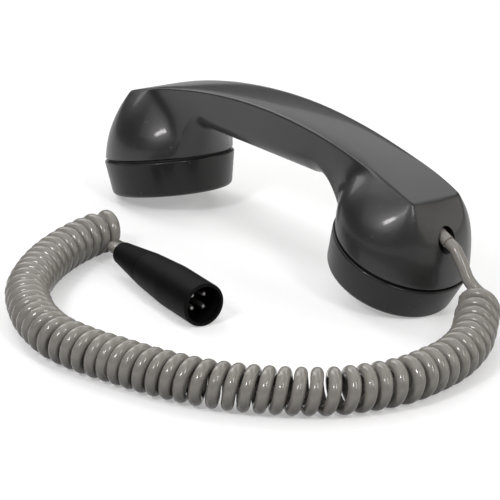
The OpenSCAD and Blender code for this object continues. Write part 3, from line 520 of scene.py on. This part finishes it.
def handle_skin():
    """Points and faces of the moulding, and the edges along the foot of its wall."""
    near = near_columns()
    count = len(near)
    around = 2 * count - 2
    rows = [column.rows() for column in near]
    depth = len(rows[0])
    first = END_COLUMNS + CORNER_COLUMNS + SIDE_COLUMNS
    last = count - 1 - first
    ease_valley(rows, first)
    ease_valley(rows, last)
    points, faces = [], []

    def far(p):
        return Vector((p.x, -p.y, p.z))

    def wall(j, k):
        return j * around + k % around

    for j in range(depth):
        for k in range(around):
            points.append(rows[k][j] if k < count else far(rows[around - k][j]))
    for j in range(depth - 1):
        for k in range(around):
            faces.append((wall(j, k), wall(j, k + 1), wall(j + 1, k + 1), wall(j + 1, k)))
    low_edge = {frozenset((wall(depth - 1, k), wall(depth - 1, k + 1))) for k in range(around)}

    # The crest, with a fan at each end
    left = next(k for k in range(count) if abs(rows[k][0].x - receiver.crest_end) > CREST_FAN)
    right = next(k for k in range(count - 1, 0, -1) if abs(rows[k][0].x - transmitter.crest_end) > CREST_FAN)
    crest = {}
    for k in range(left, right + 1):
        crest[k] = [wall(0, k)]
        for c in range(1, CREST_ROWS):
            crest[k].append(len(points))
            points.append(crest_point(rows[k][0].x, rows[k][0].y * (1 - 2 * c / CREST_ROWS)))
        crest[k].append(wall(0, around - k))
    faces.append([wall(0, k) for k in range(-left, left)] + crest[left][:-1])
    faces.append([wall(0, k) for k in range(right, around - right)] + crest[right][:0:-1])
    for k in range(left, right):
        for c in range(CREST_ROWS):
            faces.append((crest[k][c], crest[k + 1][c], crest[k + 1][c + 1], crest[k][c + 1]))

    # The keel under the grip
    keel = {}
    for k in range(first, last + 1):
        keel[k] = [wall(depth - 1, k)]
        for c in range(1, 2 * KEEL_ROWS):
            keel[k].append(len(points))
            points.append(keel_point(near[k], c / KEEL_ROWS - 1))
        keel[k].append(wall(depth - 1, around - k))
    for k in range(first, last):
        for c in range(2 * KEEL_ROWS):
            faces.append((keel[k][c], keel[k][c + 1], keel[k + 1][c + 1], keel[k + 1][c]))

    # The necks, each inwards from its rim
    rims = ((receiver, first, range(-first, first + 1)), (transmitter, last, range(last, around - last + 1)))
    for head, edge, span in rims:
        loop = []
        for k in span:
            angle = near[min(k % around, -k % around)].angle
            loop.append((wall(depth - 1, k), angle if k % around < count else -angle))
        across = [(keel[edge][c], 180 + NECK_ANGLE * (c / KEEL_ROWS - 1)) for c in range(1, 2 * KEEL_ROWS)]
        loop += across if head is receiver else across[::-1]
        ring = [i for i, _ in loop]
        angles = [a for _, a in loop]
        for sizes in neck_rings(head, angles):
            inner = []
            for a, (radius, height) in zip(angles, sizes):
                inner.append(len(points))
                points.append(head.point(a, radius, height))
            for i in range(len(ring)):
                n = (i + 1) % len(ring)
                faces.append((ring[i], ring[n], inner[n], inner[i]))
            ring = inner
        faces.append(ring)
    return points, faces, low_edge


def cord_hole_cutter():
    """A round drill, slanted as the cord leaves the handle."""
    bpy.ops.object.select_all(action="DESELECT")
    bpy.ops.mesh.primitive_cylinder_add(
        vertices=HOLE_SIDES, radius=HOLE_R, depth=HOLE_DEPTH + HOLE_OVERRUN,
        location=(0, 0, (HOLE_OVERRUN - HOLE_DEPTH) / 2))
    cutter = start("slanted_drill")
    bpy.ops.object.transform_apply(location=True)
    cutter.data.transform(Matrix.Scale(MM, 4) @ cord_hole_place)
    return cutter


def handle_moulding():
    """The handle's skin, rounded along the foot of its wall, with the cord hole drilled in."""
    points, faces, low_edge = handle_skin()
    data = bpy.data.meshes.new("handle_moulding")
    data.from_pydata([p * MM for p in points], [], faces)
    weights = data.attributes.new("bevel_weight_edge", "FLOAT", "EDGE")
    for edge in data.edges:
        weights.data[edge.index].value = float(frozenset(edge.vertices) in low_edge)
    moulding = bpy.data.objects.new("handle_moulding", data)
    bpy.context.scene.collection.objects.link(moulding)
    tidy_skin(moulding, MM)
    apply_modifier(moulding, "BEVEL", limit_method="WEIGHT", width=LOW_ROUND * MM, segments=LOW_ROUND_STEPS,
                   use_clamp_overlap=False)
    cut_away(moulding, cord_hole_cutter())
    smooth(moulding, EDGE_SOFT)
    return moulding


# Connector pieces, turned on its axis: 0 at the shell's rim, positive out of its front
def connector_shell():
    """The round shell: hollow in front for the pins, with a socket behind for the boot."""
    outline = [
        (SHELL_SOCKET_R, -SHELL_LEN, SHELL_SOCKET_ROUND), (SHELL_BACK_R, -SHELL_LEN, SHELL_BACK_ROUND),
        (SHELL_R, -SHELL_TAPER, SHELL_TAPER_ROUND), (SHELL_R, 0, SHELL_LIP_ROUND),
        (SHELL_BORE_R, 0, SHELL_MOUTH_ROUND), (SHELL_BORE_R, -SHELL_BORE, 0), (SHELL_WAIST_R, -SHELL_BORE, 0),
        (SHELL_WAIST_R, -SHELL_WAIST, 0), (SHELL_SOCKET_R, -SHELL_WAIST, 0)]
    shell = turn_piece("connector_barrel", outline, connector_place, SHELL_STEPS)
    smooth(shell, TURNED_EDGE_SOFT)
    return shell


def connector_boot():
    """The tapered boot, with a spigot that sits in the shell's socket."""
    boot_end = -SHELL_LEN - BOOT_LEN
    spigot_end = -SHELL_LEN + BOOT_SPIGOT
    outline = [
        (BOOT_BORE_R, boot_end, BOOT_EDGE_ROUND), (BOOT_END_R, boot_end, BOOT_END_ROUND),
        (BOOT_R, -SHELL_LEN - BOOT_BAND, BOOT_BAND_ROUND), (BOOT_R, -SHELL_LEN, BOOT_EDGE_ROUND),
        (BOOT_SPIGOT_R, -SHELL_LEN, 0), (BOOT_SPIGOT_R, spigot_end, BOOT_EDGE_ROUND),
        (BOOT_BORE_R, spigot_end, 0)]
    boot = turn_piece("connector_boot_cone", outline, connector_place, BOOT_STEPS)
    smooth(boot, TURNED_EDGE_SOFT)
    return boot


def contact_pins():
    """The pins on their ring, turned one by one and joined."""
    outline = [
        (0, -SHELL_BORE, 0), (PIN_R, -SHELL_BORE, PIN_FOOT_ROUND), (PIN_R, -PIN_SHOULDER, PIN_SHOULDER_ROUND),
        (PIN_TIP_R, -PIN_TIP, PIN_TIP_ROUND), (0, -PIN_TIP, 0)]
    pins = []
    for k in range(PINS):
        a = math.tau * (k + 0.5) / PINS
        spot = Matrix.Translation((PIN_RING_R * math.cos(a), PIN_RING_R * math.sin(a), 0))
        pins.append(turn_piece("contact_pin", outline, connector_place @ spot, PIN_STEPS))
    bpy.ops.object.select_all(action="DESELECT")
    for pin in pins:
        pin.select_set(True)
    bpy.context.view_layer.objects.active = pins[0]
    bpy.ops.object.join()
    pins[0].name = pins[0].data.name = "contact_pins"
    smooth(pins[0], EDGE_SOFT)
    return pins[0]


# Finishes
class Value:
    """A shader socket that Python's operators work on."""

    def __init__(self, finish, socket):
        self.finish, self.socket = finish, socket

    def combine(self, operation, a, b):
        return self.finish.node("ShaderNodeMath", {"operation": operation}, {0: a, 1: b})

    def __add__(self, other):
        return self.combine("ADD", self, other)

    def __radd__(self, other):
        return self.combine("ADD", other, self)

    def __mul__(self, other):
        return self.combine("MULTIPLY", self, other)

    def __rmul__(self, other):
        return self.combine("MULTIPLY", other, self)


class Finish:
    """A material built from named nodes; paint() fills the surface shader."""

    def __init__(self, name):
        self.material = bpy.data.materials.new(name)
        self.material.use_nodes = True
        self.tree = self.material.node_tree
        self.tree.nodes.clear()
        self.surface = self.tree.nodes.new("ShaderNodeBsdfPrincipled")
        output = self.tree.nodes.new("ShaderNodeOutputMaterial")
        self.tree.links.new(self.surface.outputs[0], output.inputs["Surface"])
        self.place = self.node("ShaderNodeTexCoord", output="Object")

    def feed(self, socket, value):
        if isinstance(value, Value):
            self.tree.links.new(value.socket, socket)
        else:
            socket.default_value = value

    def node(self, kind, settings=None, inputs=None, output=0):
        new = self.tree.nodes.new(kind)
        for key, value in (settings or {}).items():
            setattr(new, key, value)
        for key, value in (inputs or {}).items():
            self.feed(new.inputs[key], value)
        return Value(self, new.outputs[output])

    def noise(self, scale, detail, roughness=0.55):
        return self.node("ShaderNodeTexNoise", None, {
            "Vector": self.place, "Scale": scale, "Detail": detail, "Roughness": roughness})

    def ramp(self, value, low, high):
        """0 below low, 1 above high."""
        return self.node("ShaderNodeMapRange", {"interpolation_type": "SMOOTHSTEP"},
                         {"Value": value, "From Min": low, "From Max": high})

    def blend(self, share, a, b):
        return self.node("ShaderNodeMix", {"data_type": "RGBA"}, {"Factor": share, 6: a, 7: b}, 2)

    def bump(self, height, strength, distance):
        return self.node("ShaderNodeBump", None, {
            "Height": height, "Strength": strength, "Distance": distance})

    def paint(self, **sockets):
        for key, value in sockets.items():
            self.feed(self.surface.inputs[key.replace("_", " ")], value)
        return self.material


GRAIN_DEPTH, BRUSH_DEPTH, FIBRE_DEPTH = 0.0002, 0.0001, 0.0006
PLASTIC_IOR = 1.5


def tint(r, g, b):
    return (r, g, b, 1)


def moulded_black(name, base, rough, gloss, coat):
    """Semi-gloss moulded plastic: cloudy gloss, a fine skin and sparse dust."""
    f = Finish(name)
    cloud = f.noise(scale=26, detail=4)
    fine = f.noise(scale=900, detail=2)
    dust = f.ramp(f.noise(scale=420, detail=1, roughness=0.4), 0.74, 0.8)
    deep = tint(base * 0.8, base * 0.8, base * 0.82)
    pale = tint(base * 1.25, base * 1.22, base * 1.2)
    shade = f.blend(dust * 0.35, f.blend(cloud, deep, pale), tint(0.1, 0.098, 0.094))
    return f.paint(Base_Color=shade, Roughness=rough - 0.05 + 0.1 * cloud + 0.25 * dust,
                   Normal=f.bump(fine, 0.12, GRAIN_DEPTH), IOR=PLASTIC_IOR, Specular_IOR_Level=gloss,
                   Coat_Weight=coat, Coat_Roughness=0.12)


def cord_vinyl(name):
    """Glossy warm grey vinyl, handled darker in patches, with faint scuffs."""
    f = Finish(name)
    cloud = f.noise(scale=38, detail=4)
    grain = f.noise(scale=650, detail=3)
    scuff = f.ramp(f.noise(scale=180, detail=4, roughness=0.7), 0.6, 0.75)
    shade = f.blend(cloud, tint(0.197, 0.187, 0.168), tint(0.262, 0.248, 0.225))
    shade = f.blend(scuff * 0.25, shade, tint(0.15, 0.141, 0.132))
    return f.paint(Base_Color=shade, Roughness=0.12 + 0.05 * cloud + 0.1 * scuff,
                   Normal=f.bump(grain, 0.03, GRAIN_DEPTH), IOR=PLASTIC_IOR, Specular_IOR_Level=0.45)


def plain_plastic(name, colour, rough, gloss=0.5):
    """Plain plastic, rubber or lacquer with a cloudy tone and a fine skin."""
    f = Finish(name)
    cloud = f.noise(scale=60, detail=4)
    fine = f.noise(scale=1200, detail=2)
    deep = tint(*(c * 0.82 for c in colour))
    pale = tint(*(min(1, c * 1.15) for c in colour))
    return f.paint(Base_Color=f.blend(cloud, deep, pale), Roughness=rough - 0.06 + 0.12 * cloud,
                   Normal=f.bump(fine, 0.15, GRAIN_DEPTH), Specular_IOR_Level=gloss)


def metal(name, colour, rough):
    """Bare metal with an uneven, brushed gloss."""
    f = Finish(name)
    cloud = f.noise(scale=90, detail=4)
    brush = f.noise(scale=500, detail=3, roughness=0.6)
    shade = f.blend(cloud, tint(*(c * 0.85 for c in colour)), tint(*colour))
    return f.paint(Base_Color=shade, Metallic=1.0, Roughness=rough - 0.08 + 0.16 * brush,
                   Normal=f.bump(brush, 0.1, BRUSH_DEPTH))


def felt(name):
    """Matt grey felt with a rough fibre."""
    f = Finish(name)
    fibre = f.noise(scale=1800, detail=5, roughness=0.75)
    cloud = f.noise(scale=140, detail=3)
    shade = f.blend(0.5 * fibre + 0.5 * cloud, tint(0.12, 0.12, 0.115), tint(0.27, 0.265, 0.255))
    return f.paint(Base_Color=shade, Roughness=0.95, Normal=f.bump(fibre, 0.6, FIBRE_DEPTH))


def winding(name):
    """Enamelled wire, wound in fine turns round the coil's axis."""
    f = Finish(name)
    cloud = f.noise(scale=120, detail=3)
    turns = f.node("ShaderNodeTexWave", {"wave_type": "BANDS", "bands_direction": "Z"},
                   {"Vector": f.place, "Scale": 900, "Distortion": 0.4})
    turns = f.node("ShaderNodeRGBToBW", None, {0: turns})
    shade = f.blend(cloud, tint(0.42, 0.17, 0.08), tint(0.62, 0.29, 0.14))
    return f.paint(Base_Color=shade, Metallic=0.8, Roughness=0.3 + 0.15 * turns,
                   Normal=f.bump(turns, 0.3, GRAIN_DEPTH))


def make_finishes():
    """One finish for each material slot of the part."""
    return {
        "body_plastic": moulded_black("handle_black", base=0.009, rough=0.44, gloss=0.54, coat=0.26),
        "cap_plastic": moulded_black("cap_black", base=0.008, rough=0.44, gloss=0.23, coat=0.22),
        "seal_rubber": plain_plastic("seal_black_rubber", (0.012, 0.012, 0.012), rough=0.75),
        "felt": felt("grey_felt"),
        "capsule_metal": metal("drawn_aluminium", (0.72, 0.72, 0.73), rough=0.34),
        "diaphragm_sheet": plain_plastic("diaphragm_film", (0.6, 0.53, 0.38), rough=0.4),
        "copper_winding": winding("copper_winding"),
        "magnet_iron": metal("sintered_magnet", (0.24, 0.24, 0.25), rough=0.55),
        "pot_steel": metal("plated_steel", (0.55, 0.55, 0.56), rough=0.3),
        "terminal_brass": metal("terminal_brass", (0.72, 0.55, 0.25), rough=0.3),
        "cup_plastic": plain_plastic("brown_moulding", (0.16, 0.075, 0.035), rough=0.45),
        "wire_sheath": plain_plastic("wire_sheath_red", (0.3, 0.03, 0.025), rough=0.4),
        "cord_vinyl": cord_vinyl("cord_grey_vinyl"),
        "boot_plastic": plain_plastic("boot_black", (0.003, 0.003, 0.0032), rough=0.6, gloss=0.07),
        "shell_lacquer": plain_plastic("shell_black_lacquer", (0.003, 0.003, 0.0032), rough=0.55, gloss=0.08),
        "insert_plastic": plain_plastic("insert_black", (0.006, 0.006, 0.006), rough=0.5, gloss=0.3),
        "pin_plating": metal("pin_plating", (0.32, 0.31, 0.3), rough=0.5),
        "chuck_plastic": plain_plastic("chuck_ivory", (0.66, 0.62, 0.5), rough=0.5),
    }


def wear(piece, slot):
    """Gives a piece the finish of its material slot."""
    piece.data.materials.clear()
    piece.data.materials.append(finishes[slot])


# Stage: a pale floor under soft lamps, in metres
FLOOR_SIZE, FLOOR_DROP, FLOOR_GLOW, GLOW_START, GLOW_FULL = 12, 0.0002, 0.35, 0.3, 0.8
LAMP_AIM, WORLD_LIGHT = (0.03, -0.02, 0.03), 0.025
PLAIN_LIGHT, ROSY_LIGHT, WARM_LIGHT = (1, 1, 1), (1, 0.97, 0.98), (1, 0.97, 0.92)


def soft_lamp(name, around, above, distance, size, power, colour=PLAIN_LIGHT, roll=0):
    """A soft lamp at an angle around the part and above the floor, turned to the part's middle."""
    a, e = math.radians(around), math.radians(above)
    way = Vector((math.cos(e) * math.cos(a), math.cos(e) * math.sin(a), math.sin(e)))
    turn = (-way).to_track_quat("-Z", "Y").to_matrix() @ Matrix.Rotation(math.radians(roll), 3, "Z")
    spot = Vector(LAMP_AIM) + way * distance
    bpy.ops.object.light_add(type="AREA", location=spot, rotation=turn.to_euler())
    lamp = bpy.context.object
    lamp.name = name
    lamp.data.shape = "RECTANGLE"
    lamp.data.size, lamp.data.size_y = size
    lamp.data.energy = power
    lamp.data.color = colour


def lay_floor():
    """White where it is seen or mirrored, with the part's shadow, and dim to the light it throws back."""
    bpy.ops.object.select_all(action="DESELECT")
    bpy.ops.mesh.primitive_plane_add(size=FLOOR_SIZE, location=(0, 0, -FLOOR_DROP))
    floor = start("pale_floor")
    f = Finish("pale_floor")
    cloud = f.noise(scale=3, detail=2)
    white = f.blend(cloud, tint(0.63, 0.63, 0.63), tint(0.65, 0.65, 0.65))
    in_view = f.node("ShaderNodeLightPath", output="Is Camera Ray")
    mirrored = f.node("ShaderNodeLightPath", output="Is Glossy Ray")
    through = f.node("ShaderNodeLightPath", output="Is Transmission Ray")
    seen = in_view + mirrored + through
    away = f.node("ShaderNodeVectorMath", {"operation": "LENGTH"}, {0: f.place}, "Value")
    far = f.ramp(away, GLOW_START, GLOW_FULL)
    near_white = f.blend(far, white, tint(0, 0, 0))
    glow = (FLOOR_GLOW + (1 - FLOOR_GLOW) * far) * seen
    floor.data.materials.append(f.paint(
        Base_Color=f.blend(seen, tint(0.1, 0.1, 0.1), near_white), Roughness=0.9, Specular_IOR_Level=0.1,
        Emission_Color=f.blend(glow, tint(0, 0, 0), tint(1, 1, 1)), Emission_Strength=1.0))


def set_stage():
    """The floor, a faint light from all round and the lamps."""
    lay_floor()
    world = bpy.data.worlds.new("studio")
    bpy.context.scene.world = world
    world.use_nodes = True
    world.node_tree.nodes["Background"].inputs["Color"].default_value = tint(1, 1, 1)
    world.node_tree.nodes["Background"].inputs["Strength"].default_value = WORLD_LIGHT
    soft_lamp("front_softbox", around=-80, above=44, distance=1.4, size=(1.6, 1.1), power=5)
    soft_lamp("front_strip", around=-70, above=36, distance=1.3, size=(0.24, 0.15), power=6,
              colour=ROSY_LIGHT, roll=50)
    soft_lamp("right_key", around=-14, above=40, distance=1.5, size=(0.22, 0.6), power=6)
    soft_lamp("ridge_strip", around=-172, above=46, distance=1.3, size=(0.4, 1.1), power=5)
    soft_lamp("top_softbox", around=-96, above=79, distance=1.3, size=(1.3, 0.7), power=3)
    soft_lamp("right_softbox", around=40, above=20, distance=1.2, size=(1.3, 0.7), power=4.7,
              colour=WARM_LIGHT)
    soft_lamp("back_softbox", around=80, above=54, distance=1.4, size=(0.9, 0.5), power=2.6)
    soft_lamp("back_left_softbox", around=146, above=41, distance=1.3, size=(1.5, 0.8), power=5.6)
    bpy.context.scene.view_settings.view_transform = "Standard"


cord, cord_length = lay_cord()
finishes = make_finishes()
for entry in frame["record"]["subparts"]:
    wear(nodes[entry["node"]], entry["material_slot"])
moulding = handle_moulding()
receiver_cap = screw_cap("receiver_screw_cap", receiver)
transmitter_cap = screw_cap("transmitter_screw_cap", transmitter)
barrel = connector_shell()
boot = connector_boot()
pins = contact_pins()
for piece, node, slot, body in (
        (moulding, "handle_body", "body_plastic", "handset"),
        (receiver_cap, "receiver_cap", "cap_plastic", "receiver_screw_cap"),
        (transmitter_cap, "transmitter_cap", "cap_plastic", "transmitter_screw_cap"),
        (barrel, "connector_shell", "shell_lacquer", "handset"),
        (boot, "connector_boot", "boot_plastic", "handset"),
        (pins, "connector_pins", "pin_plating", "handset"),
        (cord, "curly_cord", "cord_vinyl", "handset")):
    wear(piece, slot)
    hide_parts(node)
    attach(piece, body)
set_stage()
